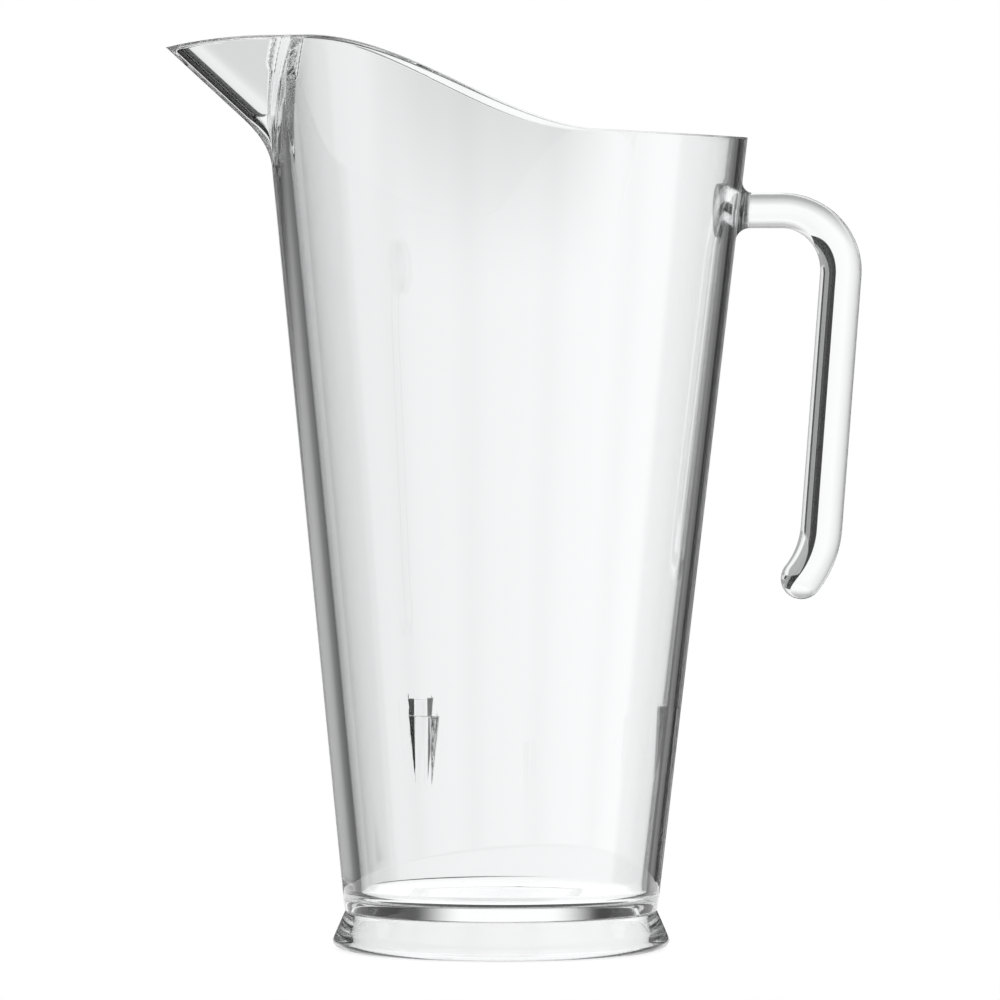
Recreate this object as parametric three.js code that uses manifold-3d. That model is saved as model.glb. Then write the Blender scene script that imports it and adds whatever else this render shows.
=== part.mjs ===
// Clear moulded cocktail jug: a tapered body with a swept rim and a pointed pouring lip, a flared foot
// ring, an open hook handle held by a spigot and a headed plug, and stacking lugs inside the wall.
// Millimetres. +Z is up, the lip points to -X and the handle to +X. The origin is on the table, in the
// middle of the overall box.
import * as THREE from "three";
import { mergeVertices } from "three/addons/utils/BufferGeometryUtils.js";
import Module from "manifold-3d";

// Body: a leaning cone, drawn from the foot's axis
const WAIST_RADIUS = 43.3; // outside, where the body meets the foot
const BRIM_RADIUS = 66.0; // outside, at the height of the back of the rim
const BRIM_HEIGHT = 224.0; // back of the rim above the table
const BRIM_SHIFT = 2.0; // how far the rim's centre lies towards the handle
const WALL = 4.6;
const CORE_SHIFT = 0.5; // the inside lies this far towards the handle, so the front wall is thicker
const FLOOR = 4.0;
const FLOOR_FILLET = 3.0;
const RIM_ROUND = 1.2;

// Rim: low at the back, an S-curve up to the crest, then a slight fall to the tip of the lip
const CREST_HEIGHT = 252.0;
const SWEEP_FRONT = 55.0; // the S-curve's upper end, in front of the axis
const SWEEP_BACK = 26.0; // the S-curve's lower end, behind the axis
const BACK_RISE = 2.4; // rise of the rim from its back to the S-curve
const TIP_FALL = 3.2;

// Pouring lip: two straight sides that meet in a rounded nose above a slanting keel
const LIP_REACH = 92.4; // axis to the tip
const LIP_DEPTH = 26.4; // tip down to the root of the keel
const LIP_ANGLE = 62.0; // degrees between the sides, from above
const LIP_NOSE = 4.0; // radius of the nose, from above
const LIP_THROAT = 3.2; // radius of the channel behind the nose, from above
const LIP_WALL = 2.9;
const LIP_BLEND = 6.5; // reach of the soft crease between the lip and the body

// Foot ring: a short flared skirt under the floor
const FOOT_HEIGHT = 10.5;
const FOOT_RADIUS = 46.7;
const FOOT_WALL = 2.9;
const FOOT_ROUND = 2.4; // height of the rounded outer bottom edge
const FOOT_TUCK = 3.2; // width of that edge
const FOOT_LAND = 1.2; // width of the flat that stands on the table
const SEAM_ROUND = 0.4; // broken edges on both sides of the seam
const TONGUE_WIDTH = 0.8;
const TONGUE_HEIGHT = 1.1;

// Handle: a round rod, out from the wall, round a bend and down to a turned-in end
const HANDLE_DROP = 20.2; // back of the rim down to the axis of the root
const HANDLE_REACH = 99.8; // jug axis to the outside of the grip
const ROD = 11.5; // thickness of the grip
const ROOT_ROD = 9.8; // thickness next to the wall
const ROOT_FLARE = 3.5; // fillet radius where the root meets the wall
const BEND_RADIUS = 16.6;
const GRIP_LENGTH = 70.0;
const GRIP_LEAN = 4.3; // degrees that the grip leans in towards the body
const TIP_BEND = 26.0; // bend radius at the lower end
const TIP_TURN = 34.0; // degrees that the lower end turns in
const SPIGOT_RADIUS = 4.4;

// Plug inside the wall, with its stem in the end of the spigot
const PLUG_RADIUS = 7.5;
const PLUG_STAND = 1.5; // how far the head stands in from the wall
const PLUG_ROUND = 0.6;
const STEM_RADIUS = 2.0;
const STEM_LENGTH = 4.0;

// Stacking lugs: wedges on the wall with a level shelf on top for the foot of the jug above
const LUG_TOP = 67.0;
const LUG_LENGTH = 19.0;
const LUG_STAND = 1.6; // width of the shelf
const LUG_TOE = 0.5; // thickness left at the lower end
const LUG_WIDTH = 8.0; // at the wall
const LUG_FACE = 5.0; // at the inner face
const LUG_TURN = 120.0; // degrees between neighbouring lugs, the first under the handle

// Fits
const SEAT = 0.3; // between a piece and the wall it is welded to
const CLEARANCE = 0.3; // round the spigot, the stem and the tongue
const SEAM = 0.1; // between the floor and the foot ring

// Fineness of the faceted surfaces
const LIP_SPREAD = 32; // degrees each side of the lip with close facets
const LIP_FACETS = 18;
const BACK_FACETS = 52;
const RING_FACETS = 80;
const ROD_FACETS = 24;

const wasm = await Module();
wasm.setup();

const radians = THREE.MathUtils.degToRad;
const span = BRIM_HEIGHT - FOOT_HEIGHT;
const floorTop = FOOT_HEIGHT + FLOOR;
const handleHeight = BRIM_HEIGHT - HANDLE_DROP;
const tipHeight = CREST_HEIGHT - TIP_FALL;
const keelRoot = tipHeight - LIP_DEPTH;
const tongueRadius = WAIST_RADIUS - (SEAM_ROUND + FOOT_WALL) / 2;

function outerRadius(z) {
  return THREE.MathUtils.mapLinear(z, FOOT_HEIGHT, BRIM_HEIGHT, WAIST_RADIUS, BRIM_RADIUS);
}

function innerRadius(z) {
  return outerRadius(z) - WALL;
}

function outerCentre(z) {
  return (BRIM_SHIFT * (z - FOOT_HEIGHT)) / span;
}

function innerCentre(z) {
  return outerCentre(z) + CORE_SHIFT;
}

// Where the handle's axis goes through the wall.
const handleInside = innerCentre(handleHeight) + innerRadius(handleHeight);
const handleOutside = outerCentre(handleHeight) + outerRadius(handleHeight);

// Height of the rim, which is cut straight through from side to side.
function rimHeight(x) {
  const back = BRIM_RADIUS + BRIM_SHIFT;
  const crest = BRIM_RADIUS - BRIM_SHIFT;
  const low = BRIM_HEIGHT + BACK_RISE * THREE.MathUtils.clamp((back - x) / (back - SWEEP_BACK), 0, 1);
  const rise = THREE.MathUtils.smoothstep(-x, -SWEEP_BACK, SWEEP_FRONT);
  const past = Math.max(0, (-x - crest) / (LIP_REACH - crest));
  return low + (CREST_HEIGHT - BRIM_HEIGHT - BACK_RISE) * rise - TIP_FALL * past * past;
}

// Greater of two radii, with a soft change from one to the other.
function softMax(a, b) {
  const near = Math.max(0, 1 - Math.abs(a - b) / LIP_BLEND);
  return Math.max(a, b) + (LIP_BLEND / 4) * near * near;
}

// Reach of the keel in front of the body's centre at a height.
function keelReach(z) {
  const tip = LIP_REACH + outerCentre(tipHeight);
  return THREE.MathUtils.mapLinear(z, keelRoot, tipHeight, outerRadius(keelRoot), tip);
}

// Radius of a V with a rounded nose, at an angle from the lip's direction.
function beakRadius(angle, reach, nose) {
  if (reach <= 0 || Math.abs(angle) > Math.PI / 4) {
    return 0;
  }
  const flank = 1 / Math.tan(radians(LIP_ANGLE / 2));
  const round = nose * flank * flank;
  const b = (reach + round) * Math.cos(angle);
  const c = (reach + round) ** 2 - round ** 2;
  const a = Math.cos(angle) ** 2 - (flank * Math.sin(angle)) ** 2;
  return c / (b + Math.sqrt(b * b - a * c));
}

// Points on the outside, grown by a gap, and on the inside, shrunk by one.
function outerPoint(angle, z, gap = 0) {
  const radius = softMax(outerRadius(z), beakRadius(angle, keelReach(z), LIP_NOSE)) + gap;
  return new THREE.Vector3(outerCentre(z) - radius * Math.cos(angle), -radius * Math.sin(angle), z);
}

function innerPoint(angle, z, gap = 0) {
  const rise = LIP_DEPTH / (keelReach(tipHeight) - keelReach(keelRoot));
  const across = LIP_WALL / Math.sin(Math.atan(rise)) - CORE_SHIFT;
  const beak = beakRadius(angle, keelReach(z) - across, LIP_THROAT);
  const radius = softMax(innerRadius(z), beak) - gap;
  return new THREE.Vector3(innerCentre(z) - radius * Math.cos(angle), -radius * Math.sin(angle), z);
}

// Height at which a wall line meets the rim.
function rimAt(pointAt, angle) {
  let z = CREST_HEIGHT;
  for (let step = 0; step < 20; step += 1) {
    z = rimHeight(pointAt(angle, z).x);
  }
  return z;
}

// Closed surface through rings of points that all run the same way round.
function loft(rings) {
  const count = rings[0].length;
  const index = [];
  for (let i = 0; i + 1 < rings.length; i += 1) {
    for (let j = 0; j < count; j += 1) {
      const a = i * count + j;
      const b = i * count + ((j + 1) % count);
      index.push(a, b + count, b, a, a + count, b + count);
    }
  }
  const geometry = new THREE.BufferGeometry().setFromPoints(rings.flat());
  geometry.setIndex(index);
  return geometry;
}

function solidOf(geometry) {
  const bare = geometry.clone();
  bare.deleteAttribute("normal");
  bare.deleteAttribute("uv");
  const merged = mergeVertices(bare, 1e-5);
  const corners = merged.index.array;
  const kept = [];
  for (let i = 0; i < corners.length; i += 3) {
    const [a, b, c] = corners.slice(i, i + 3);
    if (a !== b && b !== c && c !== a) {
      kept.push(a, b, c);
    }
  }
  const mesh = new wasm.Mesh({
    numProp: 3,
    vertProperties: new Float32Array(merged.attributes.position.array),
    triVerts: new Uint32Array(kept),
  });
  return new wasm.Manifold(mesh);
}

// Round bar on the axis of the handle's root.
function rodAlongX(radius, from, to) {
  const geometry = new THREE.CylinderGeometry(radius, radius, to - from, ROD_FACETS);
  geometry.rotateZ(Math.PI / 2);
  geometry.translate((from + to) / 2, 0, handleHeight);
  return solidOf(geometry);
}

// Angles round the body: close together at the lip, even round the rest.
function wallAngles() {
  const spread = radians(LIP_SPREAD);
  const angles = [];
  for (let i = -LIP_FACETS; i < LIP_FACETS; i += 1) {
    angles.push(Math.sign(i) * spread * Math.abs(i / LIP_FACETS) ** 1.5);
  }
  for (let i = 0; i < BACK_FACETS; i += 1) {
    angles.push(spread + ((2 * Math.PI - 2 * spread) * i) / BACK_FACETS);
  }
  return angles.map((angle) => (angle > Math.PI ? angle - 2 * Math.PI : angle));
}

const angles = wallAngles();

function ringOf(pointAt) {
  return angles.map(pointAt);
}

function levelRing(radius, z) {
  return ringOf((angle) => new THREE.Vector3(-radius * Math.cos(angle), -radius * Math.sin(angle), z));
}

// Rings up a wall: few on the plain cone, more where the lip swells out of it.
function wallRings(pointAt, low) {
  const plain = [0, 1 / 3, 2 / 3];
  const swelling = [0, 0.12, 0.24, 0.36, 0.48, 0.6, 0.74, 0.88, 1];
  const change = keelRoot - LIP_BLEND;
  const tops = new Map(angles.map((angle) => [angle, rimAt(pointAt, angle) - RIM_ROUND]));
  const lower = plain.map((t) => ringOf((angle) => pointAt(angle, low + t * (change - low))));
  const upper = swelling.map((t) =>
    ringOf((angle) => pointAt(angle, change + t * (tops.get(angle) - change))),
  );
  return [...lower, ...upper];
}

// Rings over the rounded edge of the rim, from the wall's side to the flat top.
function rimRings(pointAt) {
  return [Math.PI / 4, Math.PI / 2].map((turn) =>
    ringOf((angle) => {
      const top = rimAt(pointAt, angle);
      const inset = RIM_ROUND * (1 - Math.cos(turn));
      return pointAt(angle, top, -inset).setZ(top - RIM_ROUND * (1 - Math.sin(turn)));
    }),
  );
}

function bodySolid() {
  const start = floorTop + FLOOR_FILLET;
  const fillet = [90, 60, 30].map((degrees) => {
    const turn = radians(degrees);
    const inset = FLOOR_FILLET * (1 - Math.cos(turn));
    return ringOf((angle) =>
      innerPoint(angle, start, inset).setZ(start - FLOOR_FILLET * Math.sin(turn)),
    );
  });
  const inside = wallRings(innerPoint, start);
  const outside = wallRings(outerPoint, FOOT_HEIGHT + SEAM_ROUND);
  const half = TONGUE_WIDTH / 2;
  const rings = [
    levelRing(0, floorTop).map((point) => point.setX(innerCentre(floorTop))),
    ...fillet,
    ...inside,
    ...rimRings(innerPoint),
    ...rimRings(outerPoint).reverse(),
    ...outside.reverse(),
    levelRing(WAIST_RADIUS - SEAM_ROUND, FOOT_HEIGHT),
    levelRing(tongueRadius + half, FOOT_HEIGHT),
    levelRing(tongueRadius + half, FOOT_HEIGHT - TONGUE_HEIGHT),
    levelRing(tongueRadius - half, FOOT_HEIGHT - TONGUE_HEIGHT),
    levelRing(tongueRadius - half, FOOT_HEIGHT),
    levelRing(0, FOOT_HEIGHT),
  ];
  const bore = rodAlongX(SPIGOT_RADIUS + CLEARANCE, handleInside - WALL, handleOutside + WALL);
  return solidOf(loft(rings)).subtract(bore);
}

// The plain cone of one wall as a full solid, for trimming what sits against the wall.
function coneSolid(pointAt, gap) {
  const low = handleHeight - 4 * ROD;
  const high = handleHeight + 4 * ROD;
  const side = Math.PI / 3;
  const back = (z) =>
    ringOf((angle) => pointAt(Math.abs(angle) > side ? angle : Math.sign(angle + 1e-6) * side, z, gap));
  const pole = (z) => ringOf(() => new THREE.Vector3(innerCentre(z), 0, z));
  return solidOf(loft([pole(high), back(high), back(low), pole(low)]));
}

function footSolid() {
  const top = FOOT_HEIGHT - SEAM;
  const groove = TONGUE_WIDTH / 2 + CLEARANCE;
  const bottom = top - TONGUE_HEIGHT - CLEARANCE;
  const land = FOOT_RADIUS - FOOT_TUCK;
  const profile = new THREE.Path();
  profile.moveTo(land - FOOT_LAND, 0);
  profile.lineTo(land, 0);
  profile.absellipse(land, FOOT_ROUND, FOOT_TUCK, FOOT_ROUND, -Math.PI / 2, 0);
  profile.lineTo(WAIST_RADIUS, top - SEAM_ROUND);
  profile.lineTo(WAIST_RADIUS - SEAM_ROUND, top);
  profile.lineTo(tongueRadius + groove, top);
  profile.lineTo(tongueRadius + groove, bottom);
  profile.lineTo(tongueRadius - groove, bottom);
  profile.lineTo(tongueRadius - groove, top);
  profile.lineTo(WAIST_RADIUS - FOOT_WALL, top);
  profile.lineTo(land - FOOT_LAND, FOOT_ROUND);
  profile.closePath();
  const ring = new THREE.LatheGeometry(profile.getPoints(5), RING_FACETS);
  ring.rotateX(Math.PI / 2);
  return solidOf(ring);
}

// Centre line of the handle, in the upright plane through the jug's axis.
function handlePath() {
  const lean = radians(GRIP_LEAN);
  const turn = radians(TIP_TURN);
  const bend = new THREE.Vector2(
    HANDLE_REACH - ROD / 2 - BEND_RADIUS,
    handleHeight - BEND_RADIUS,
  );
  const across = new THREE.Vector2(Math.cos(lean), -Math.sin(lean));
  const down = new THREE.Vector2(-Math.sin(lean), -Math.cos(lean));
  const end = bend.clone().addScaledVector(across, BEND_RADIUS).addScaledVector(down, GRIP_LENGTH);
  const hook = end.clone().addScaledVector(across, -TIP_BEND);
  const path = new THREE.Path();
  path.moveTo(handleOutside - WALL / 2, handleHeight);
  path.lineTo(bend.x, handleHeight);
  path.absarc(bend.x, bend.y, BEND_RADIUS, Math.PI / 2, -lean, true);
  path.lineTo(end.x, end.y);
  path.absarc(hook.x, hook.y, TIP_BEND, -lean, -lean - turn, true);
  return path;
}

function handleSolid() {
  const path = handlePath();
  const length = path.getLength();
  const start = WALL / 2;
  const bendStart = path.curves[0].getLength();
  const bendEnd = bendStart + path.curves[1].getLength();
  const thickness = (s) =>
    THREE.MathUtils.lerp(ROOT_ROD, ROD, THREE.MathUtils.smoothstep(s, bendStart, bendEnd)) / 2;
  const flare = (s) => {
    const away = THREE.MathUtils.clamp(s - start, 0, ROOT_FLARE);
    return ROOT_FLARE - Math.sqrt(ROOT_FLARE ** 2 - (ROOT_FLARE - away) ** 2);
  };
  const ringAt = (s, radius, past = 0) => {
    const point = path.getPointAt(Math.min(1, s / length));
    const heading = path.getTangentAt(Math.min(1, s / length));
    return Array.from({ length: ROD_FACETS }, (_, j) => {
      const turn = (2 * Math.PI * j) / ROD_FACETS;
      const up = radius * Math.cos(turn);
      return new THREE.Vector3(
        point.x + heading.x * past - heading.y * up,
        radius * Math.sin(turn),
        point.y + heading.y * past + heading.x * up,
      );
    });
  };
  const root = [-start / ROOT_FLARE, 0, 0.1, 0.23, 0.43, 0.7, 1].map((t) => start + t * ROOT_FLARE);
  const bend = Array.from({ length: 13 }, (_, i) => THREE.MathUtils.lerp(bendStart, bendEnd, i / 12));
  const grip = [0.25, 0.5, 0.75].map((t) => bendEnd + t * GRIP_LENGTH);
  const hook = Array.from({ length: 7 }, (_, i) =>
    THREE.MathUtils.lerp(bendEnd + GRIP_LENGTH, length, i / 6),
  );
  const cap = [30, 55, 75].map((degrees) => {
    const turn = radians(degrees);
    return ringAt(length, (ROD / 2) * Math.cos(turn), (ROD / 2) * Math.sin(turn));
  });
  const rod = solidOf(
    loft([
      ringAt(0, 0),
      ...[...root, ...bend, ...grip, ...hook].map((s) => ringAt(s, thickness(s) + flare(s))),
      ...cap,
      ringAt(length, 0, ROD / 2),
    ]),
  );
  const spigot = rodAlongX(SPIGOT_RADIUS, handleInside - WALL, handleOutside + WALL / 2);
  const depth = STEM_LENGTH + CLEARANCE;
  const socket = rodAlongX(STEM_RADIUS + CLEARANCE, handleInside - WALL, handleInside + depth);
  return rod
    .subtract(coneSolid(outerPoint, SEAT))
    .add(spigot)
    .subtract(coneSolid(innerPoint, 0))
    .subtract(socket);
}

function plugSolid() {
  const face = handleInside - PLUG_STAND;
  const profile = new THREE.Path();
  profile.moveTo(0, 0);
  profile.lineTo(PLUG_RADIUS - PLUG_ROUND, 0);
  profile.absarc(PLUG_RADIUS - PLUG_ROUND, PLUG_ROUND, PLUG_ROUND, -Math.PI / 2, 0);
  profile.lineTo(PLUG_RADIUS, 2 * WALL);
  profile.lineTo(0, 2 * WALL);
  const button = new THREE.LatheGeometry(profile.getPoints(3), 2 * ROD_FACETS);
  button.rotateZ(-Math.PI / 2);
  button.translate(face, 0, handleHeight);
  const head = solidOf(button).intersect(coneSolid(innerPoint, SEAT));
  const stem = rodAlongX(STEM_RADIUS, face + PLUG_ROUND, handleInside + STEM_LENGTH);
  return head.add(stem);
}

// A lug at an angle from the handle's direction, built round the body's inside.
function lugSolid(turn) {
  const foot = LUG_TOP - LUG_LENGTH;
  const ringAt = (z) => {
    const part = (z - foot) / LUG_LENGTH;
    const stand = THREE.MathUtils.lerp(LUG_TOE, LUG_STAND, part);
    const back = innerRadius(z) - SEAT;
    const face = innerRadius(z) - stand;
    const half = LUG_FACE / 2;
    const base = THREE.MathUtils.mapLinear(stand, 0, LUG_STAND, half, LUG_WIDTH / 2);
    const section = [
      ...[-1, -0.5, 0, 0.5, 1].map((t) => [back, t * base]),
      ...[1, 0, -1].map((t) => [face, t * half]),
    ];
    return section.map(([radius, along]) => {
      const angle = turn + along / radius;
      return new THREE.Vector3(
        innerCentre(z) + radius * Math.cos(angle),
        radius * Math.sin(angle),
        z,
      );
    });
  };
  const middle = (ring) => {
    const centre = ring.reduce((sum, point) => sum.add(point), new THREE.Vector3());
    return ring.map(() => centre.clone().divideScalar(ring.length));
  };
  const rings = [foot, foot + LUG_LENGTH / 2, LUG_TOP].map(ringAt);
  return solidOf(loft([middle(rings[0]), ...rings, middle(rings[2])].reverse()));
}

function meshOf(name, solid, colour) {
  const { vertProperties, numProp, triVerts } = solid.getMesh();
  const points = [];
  for (let i = 0; i < vertProperties.length; i += numProp) {
    points.push(vertProperties[i], vertProperties[i + 1], vertProperties[i + 2]);
  }
  const geometry = new THREE.BufferGeometry();
  geometry.setAttribute("position", new THREE.Float32BufferAttribute(points, 3));
  geometry.setIndex(Array.from(triVerts));
  geometry.computeVertexNormals();
  const material = new THREE.MeshStandardMaterial({
    color: colour,
    roughness: 0.05,
    transparent: true,
    opacity: 0.35,
  });
  const mesh = new THREE.Mesh(geometry, material);
  mesh.name = name;
  return mesh;
}

const lugTurn = radians(LUG_TURN);
const jug = new THREE.Group();
jug.name = "cocktail_jug";
jug.add(
  meshOf("jug_body", bodySolid(), 0xeef2f4),
  meshOf("foot_ring", footSolid(), 0xe8eef2),
  meshOf("handle", handleSolid(), 0xf0f3f5),
  meshOf("handle_plug", plugSolid(), 0xe4eaee),
  meshOf("stacking_lug_handle_side", lugSolid(0), 0xe6ecf0),
  meshOf("stacking_lug_near", lugSolid(-lugTurn), 0xe6ecf0),
  meshOf("stacking_lug_far", lugSolid(lugTurn), 0xe6ecf0),
);
jug.position.x = (LIP_REACH - HANDLE_REACH) / 2;
jug.updateMatrixWorld(true);

export default jug;
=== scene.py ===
"""Looks of a clear moulded cocktail jug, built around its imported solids."""

import logging
import math
from dataclasses import dataclass, field, replace
from enum import Enum
from typing import Callable, Mapping, Sequence

import bpy
from mathutils import Matrix, Vector


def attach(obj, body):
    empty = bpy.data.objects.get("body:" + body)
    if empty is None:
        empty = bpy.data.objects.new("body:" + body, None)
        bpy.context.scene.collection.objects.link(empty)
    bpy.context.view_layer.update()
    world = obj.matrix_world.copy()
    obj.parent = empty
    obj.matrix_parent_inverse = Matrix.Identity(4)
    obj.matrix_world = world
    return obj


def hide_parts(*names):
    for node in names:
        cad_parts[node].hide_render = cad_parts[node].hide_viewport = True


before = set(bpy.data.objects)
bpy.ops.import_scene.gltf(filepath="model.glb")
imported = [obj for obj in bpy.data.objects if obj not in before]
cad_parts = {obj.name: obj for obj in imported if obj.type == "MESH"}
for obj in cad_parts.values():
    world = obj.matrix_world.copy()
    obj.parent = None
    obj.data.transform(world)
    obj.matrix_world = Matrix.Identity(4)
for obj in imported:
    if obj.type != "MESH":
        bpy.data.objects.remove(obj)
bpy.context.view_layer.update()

log = logging.getLogger("cocktail_jug")

MM = 0.001
BODY = "root"
ALL_BOUNCES = 128
THROUGH_BOUNCES = 64
HOLLOW_DEPTH = 3.5  # a ray with more crossings than this has been through the hollow
GUIDED_DEPTH = 0.5  # a ray with more reflections than this is guided inside a wall

Ring = list[Vector]
Socket = bpy.types.NodeSocket
WallPoint = Callable[[float, float, float], Vector]


class Slot(Enum):
    """Material slots of the record."""

    BODY = "clear_body"
    FOOT = "clear_foot"
    HANDLE = "clear_handle"


class LugPlace(Enum):
    """Where a stacking lug stands, in degrees from the lip's direction."""

    HANDLE_SIDE = 180.0
    NEAR = 57.6
    FAR = -57.4


def smooth_step(value: float, low: float, high: float) -> float:
    """Return a soft change from 0 at low to 1 at high."""
    t = min(1.0, max(0.0, (value - low) / (high - low)))
    return t * t * (3.0 - 2.0 * t)


def mix(a: float, b: float, t: float) -> float:
    """Return the value a share t of the way from a to b."""
    return a + (b - a) * t


def wrapped(degrees: float) -> float:
    """Return the same turn within half a turn of zero, in degrees."""
    return (degrees + 180.0) % 360.0 - 180.0


def quarter_turn(steps: int) -> list[tuple[float, float]]:
    """Return the sine and cosine of even steps from no turn to a quarter turn."""
    turns = [math.radians(90.0 * i / steps) for i in range(steps + 1)]
    return [(math.sin(turn), math.cos(turn)) for turn in turns]


@dataclass(frozen=True)
class JugForm:
    """Shape of the wall, the lip and the rim, in millimetres from the foot's axis."""

    waist_radius: float = 43.3
    brim_radius: float = 66.0
    brim_height: float = 224.0
    brim_shift: float = 2.0
    wall: float = 4.6
    core_shift: float = 0.5
    crest_height: float = 252.0
    sweep_front: float = 55.0
    sweep_back: float = 26.0
    back_rise: float = 2.4
    tip_fall: float = 3.2
    lip_reach: float = 92.4
    lip_depth: float = 26.4
    lip_angle: float = 62.0
    lip_nose: float = 4.0
    lip_throat: float = 3.2
    lip_wall: float = 2.9
    lip_blend: float = 6.5
    crease_blend: float = 0.3
    crease_turns: tuple[float, float] = (2.0, 9.0)
    foot_height: float = 10.5
    handle_drop: float = 20.2
    handle_reach: float = 99.8
    rim_rounds: int = 20

    @property
    def axis_x(self) -> float:
        """Place of the foot's axis along X in the row frame, in millimetres."""
        return (self.lip_reach - self.handle_reach) / 2.0

    @property
    def handle_height(self) -> float:
        """Height of the handle root's axis above the table."""
        return self.brim_height - self.handle_drop

    @property
    def tip_height(self) -> float:
        """Height of the tip of the lip."""
        return self.crest_height - self.tip_fall

    @property
    def keel_root(self) -> float:
        """Height at which the keel leaves the wall."""
        return self.tip_height - self.lip_depth

    @property
    def cone_top(self) -> float:
        """Height up to which the wall is a plain cone."""
        return self.keel_root - self.lip_blend

    def outer_radius(self, z: float) -> float:
        """Return the outside radius of the plain cone at a height."""
        part = (z - self.foot_height) / (self.brim_height - self.foot_height)
        return mix(self.waist_radius, self.brim_radius, part)

    def inner_radius(self, z: float) -> float:
        """Return the inside radius of the plain cone at a height."""
        return self.outer_radius(z) - self.wall

    def outer_centre(self, z: float) -> float:
        """Return the X of the outside's centre at a height."""
        return self.brim_shift * (z - self.foot_height) / (self.brim_height - self.foot_height)

    def inner_centre(self, z: float) -> float:
        """Return the X of the inside's centre at a height."""
        return self.outer_centre(z) + self.core_shift

    def rim_height(self, x: float) -> float:
        """Return the height of the rim, which is cut straight through from side to side.

        Args:
            x: Place along the lip's direction, positive towards the handle.

        Returns:
            Height above the table.
        """
        back = self.brim_radius + self.brim_shift
        crest = self.brim_radius - self.brim_shift
        share = min(1.0, max(0.0, (back - x) / (back - self.sweep_back)))
        low = self.brim_height + self.back_rise * share
        rise = smooth_step(-x, -self.sweep_back, self.sweep_front)
        past = max(0.0, (-x - crest) / (self.lip_reach - crest))
        climb = self.crest_height - self.brim_height - self.back_rise
        return low + climb * rise - self.tip_fall * past * past

    def soft_max(self, a: float, b: float, angle: float) -> float:
        """Return the greater radius, with a crease that is soft under the keel and tight beside it.

        Args:
            a: First radius.
            b: Second radius.
            angle: Turn from the lip's direction, in radians.

        Returns:
            Radius with the crease filled.
        """
        soft, tight = map(math.radians, self.crease_turns)
        blend = mix(self.lip_blend, self.crease_blend, smooth_step(abs(angle), soft, tight))
        near = max(0.0, 1.0 - abs(a - b) / blend)
        return max(a, b) + blend / 4.0 * near * near

    def keel_reach(self, z: float) -> float:
        """Return how far the keel stands in front of the body's centre.

        Args:
            z: Height above the table.

        Returns:
            Distance from the outside's centre.
        """
        part = (z - self.keel_root) / (self.tip_height - self.keel_root)
        tip = self.lip_reach + self.outer_centre(self.tip_height)
        return mix(self.outer_radius(self.keel_root), tip, part)

    def beak_radius(self, angle: float, reach: float, nose: float) -> float:
        """Return the radius of the lip's V with its rounded nose.

        Args:
            angle: Turn from the lip's direction, in radians.
            reach: Distance of the nose from the centre.
            nose: Radius of the nose.

        Returns:
            Radius in that direction, or zero where the lip has no surface.
        """
        if reach <= 0.0 or abs(angle) > math.pi / 4.0:
            return 0.0
        flank = 1.0 / math.tan(math.radians(self.lip_angle / 2.0))
        around = nose * flank * flank
        b = (reach + around) * math.cos(angle)
        c = (reach + around) ** 2 - around**2
        a = math.cos(angle) ** 2 - (flank * math.sin(angle)) ** 2
        return c / (b + math.sqrt(b * b - a * c))

    def outer_point(self, angle: float, z: float, grow: float = 0.0) -> Vector:
        """Return a point of the outside.

        Args:
            angle: Turn from the lip's direction, in radians.
            z: Height above the table.
            grow: How far the point is moved out.

        Returns:
            The point.
        """
        beak = self.beak_radius(angle, self.keel_reach(z), self.lip_nose)
        radius = self.soft_max(self.outer_radius(z), beak, angle) + grow
        x = self.outer_centre(z) - radius * math.cos(angle)
        return Vector((x, -radius * math.sin(angle), z))

    def inner_point(self, angle: float, z: float, shrink: float = 0.0) -> Vector:
        """Return a point of the inside.

        Args:
            angle: Turn from the lip's direction, in radians.
            z: Height above the table.
            shrink: How far the point is moved towards the axis.

        Returns:
            The point.
        """
        run = self.keel_reach(self.tip_height) - self.keel_reach(self.keel_root)
        across = self.lip_wall / math.sin(math.atan(self.lip_depth / run)) - self.core_shift
        beak = self.beak_radius(angle, self.keel_reach(z) - across, self.lip_throat)
        radius = self.soft_max(self.inner_radius(z), beak, angle) - shrink
        x = self.inner_centre(z) - radius * math.cos(angle)
        return Vector((x, -radius * math.sin(angle), z))

    def rim_at(self, point_at: WallPoint, angle: float) -> float:
        """Return the height at which a wall line meets the rim.

        Args:
            point_at: Gives a point of the wall.
            angle: Turn from the lip's direction, in radians.

        Returns:
            Height above the table.
        """
        z = self.crest_height
        for _ in range(self.rim_rounds):
            z = self.rim_height(point_at(angle, z, 0.0).x)
        return z

    def outer_wall_x(self, y: float, z: float, grow: float = 0.0) -> float:
        """Return the X of the outside on the handle's side, at a place across and up."""
        return self.outer_centre(z) + math.sqrt((self.outer_radius(z) + grow) ** 2 - y * y)

    def inner_wall_x(self, y: float, z: float, shrink: float = 0.0) -> float:
        """Return the X of the inside on the handle's side, at a place across and up."""
        return self.inner_centre(z) + math.sqrt((self.inner_radius(z) - shrink) ** 2 - y * y)


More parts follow.
